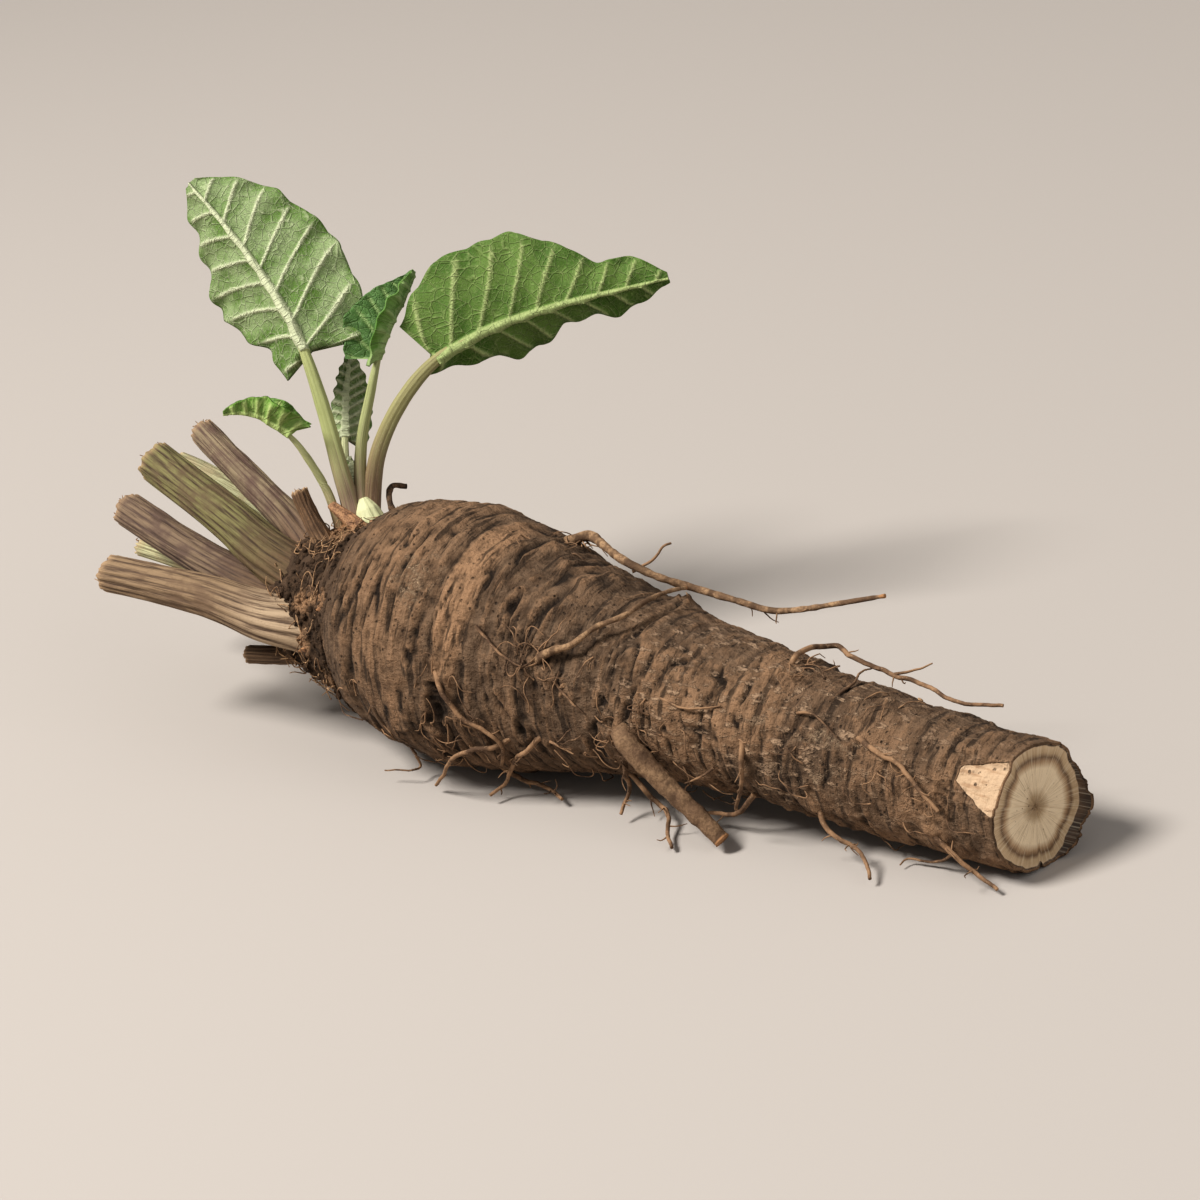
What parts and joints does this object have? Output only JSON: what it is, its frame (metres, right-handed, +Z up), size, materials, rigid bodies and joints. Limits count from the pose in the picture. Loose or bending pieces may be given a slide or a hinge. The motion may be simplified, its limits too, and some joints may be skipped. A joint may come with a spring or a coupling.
{
  "type": "burdock root",
  "caption": "Thick tapering burdock taproot with a cut end, stubs of old leaf stalks, young leaves, side roots and soil round its crown.",
  "frame": {"origin": "the point on the flat underside of the shoulder where the root rests", "axes": "+X along the root from the crown to the cut end, +Z up, young leaves on the +Z side of the crown"},
  "size_m": [0.3678, 0.1249, 0.1656],
  "materials": {
    "bark": "rough",
    "soil": "rough",
    "side_root": "rough",
    "cut_stalk": "rough",
    "dry_scale": "rough",
    "shoot": "satin",
    "leaf": "matte"
  },
  "bodies": {
    "root": {"taproot": "bark", "crown_soil": "soil", "shoot_base": "shoot", "cut_stalk_1": "cut_stalk", "cut_stalk_2": "cut_stalk", "cut_stalk_3": "cut_stalk", "cut_stalk_4": "cut_stalk", "cut_stalk_5": "cut_stalk", "cut_stalk_6": "cut_stalk", "cut_stalk_7": "cut_stalk", "cut_stalk_8": "cut_stalk", "dry_stub": "dry_scale", "dry_scale": "dry_scale", "dry_tendril": "dry_scale", "leaf_large": "leaf", "leaf_arching": "leaf", "leaf_cupped": "leaf", "leaf_pleated": "leaf", "leaf_low": "leaf", "leaf_bud": "leaf", "side_root_thick": "side_root", "side_root_long": "side_root", "side_root_crossing": "side_root", "rootlet_1": "side_root", "rootlet_2": "side_root", "rootlet_3": "side_root", "rootlet_4": "side_root", "rootlet_5": "side_root", "rootlet_6": "side_root", "rootlet_7": "side_root", "rootlet_8": "side_root", "rootlet_9": "side_root", "rootlet_10": "side_root", "rootlet_11": "side_root", "rootlet_12": "side_root"}
  },
  "joints": []
}
